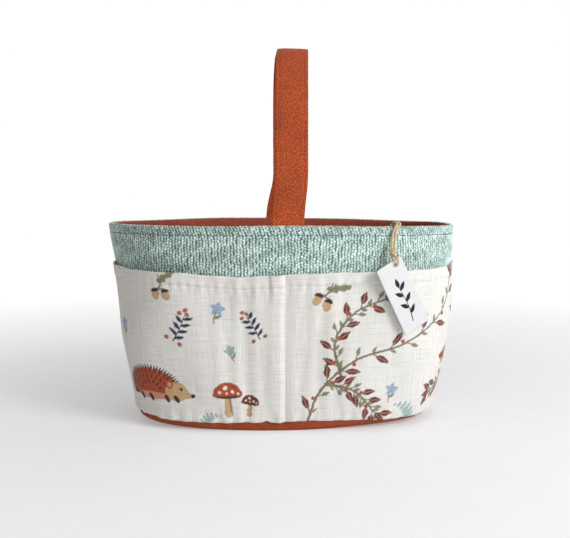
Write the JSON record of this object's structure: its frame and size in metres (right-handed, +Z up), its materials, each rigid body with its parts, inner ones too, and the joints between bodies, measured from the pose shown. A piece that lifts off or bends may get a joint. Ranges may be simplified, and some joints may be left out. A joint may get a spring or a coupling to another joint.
{
  "type": "fabric bucket organizer",
  "caption": "Oval flared fabric bucket with a woven band, linen outside pockets, a suede base, a suede strap handle that folds to either side, and a blank card tag on twine.",
  "frame": {"origin": "middle of the underside, on the surface the bucket stands on", "axes": "+Z up, +X along the long side of the oval, -Y towards the side with the tag"},
  "size_m": [0.3, 0.1839, 0.3139],
  "materials": {
    "teal_weave": "chunky basket weave, pale mint over darker teal gaps",
    "pocket_linen": "slubby cream linen with a print",
    "rust_suede": "napped suede, mottled",
    "rust_lining": "plain matt lining cloth",
    "foam_interlining": "soft white foam between cloth faces",
    "base_board": "grey board",
    "strap_webbing": "woven tape",
    "pale_thread": "sewing thread",
    "rust_thread": "sewing thread",
    "teal_thread": "sewing thread",
    "jute_twine": "twisted jute",
    "tag_card": "smooth white card"
  },
  "bodies": {
    "root": {"base_cover": "rust_suede", "base_board": "base_board", "floor_lining": "rust_lining", "outer_wall_front": "teal_weave", "foam_wall_front": "foam_interlining", "lining_wall_front": "rust_lining", "pocket_panel_front": "pocket_linen", "pocket_hem_stitch_front": "pale_thread", "pocket_divider_stitch_front": "pale_thread", "handle_tab_front": "rust_suede", "rim_stitch_front": "teal_thread", "outer_wall_back": "teal_weave", "foam_wall_back": "foam_interlining", "lining_wall_back": "rust_lining", "pocket_panel_back": "pocket_linen", "pocket_hem_stitch_back": "pale_thread", "pocket_divider_stitch_back": "pale_thread", "handle_tab_back": "rust_suede", "rim_stitch_back": "teal_thread", "twine_anchor": "jute_twine", "tag_thread_tack": "rust_thread"},
    "handle": {"handle_cover": "rust_suede", "handle_core": "strap_webbing", "handle_stitch_left": "rust_thread", "handle_stitch_right": "rust_thread"},
    "twine": {"twine_strand_left": "jute_twine", "twine_strand_right": "jute_twine", "twine_knot": "jute_twine", "twine_loop": "jute_twine"},
    "tag": {"hang_tag": "tag_card"}
  },
  "joints": [
    {"name": "handle_swing", "type": "hinge", "parent": "root", "child": "handle", "pos_m": [0, 0, 0.1812], "axis": [0, 1, 0], "range_deg": [-75, 75], "stiffness_Nm_per_rad": 0.06},
    {"name": "twine_lift", "type": "hinge", "parent": "root", "child": "twine", "pos_m": [0.08596, -0.07801, 0.167], "axis": [-0.9319, -0.3626, 0], "range_deg": [0, 75]},
    {"name": "tag_swing", "type": "hinge", "parent": "twine", "child": "tag", "pos_m": [0.08537, -0.08672, 0.1365], "axis": [0.3626, -0.9319, 0], "range_deg": [-55, 12]}
  ]
}
